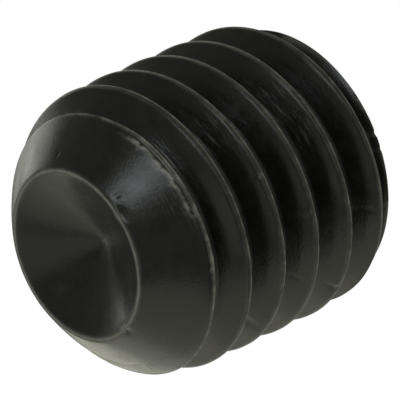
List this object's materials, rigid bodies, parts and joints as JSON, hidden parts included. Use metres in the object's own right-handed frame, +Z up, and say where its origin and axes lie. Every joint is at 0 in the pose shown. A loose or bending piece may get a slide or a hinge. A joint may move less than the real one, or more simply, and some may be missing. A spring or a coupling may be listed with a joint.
{
  "type": "grub set screw",
  "caption": "Headless hexagon-socket set screw with a cup point, in black-oxided steel; it locks a part on a shaft.",
  "frame": {"origin": "centre of the flat socket end face, which the screw stands on", "axes": "+Z up the screw's axis, towards the cup point; -Y is the side where the top turn's lower crest corner is 6.92 mm up"},
  "size_m": [0.008, 0.008, 0.008],
  "materials": {
    "black_oxide_steel": "black oxide, semi-gloss, lightly oiled"
  },
  "bodies": {
    "root": {"set_screw": "black_oxide_steel"}
  },
  "joints": []
}
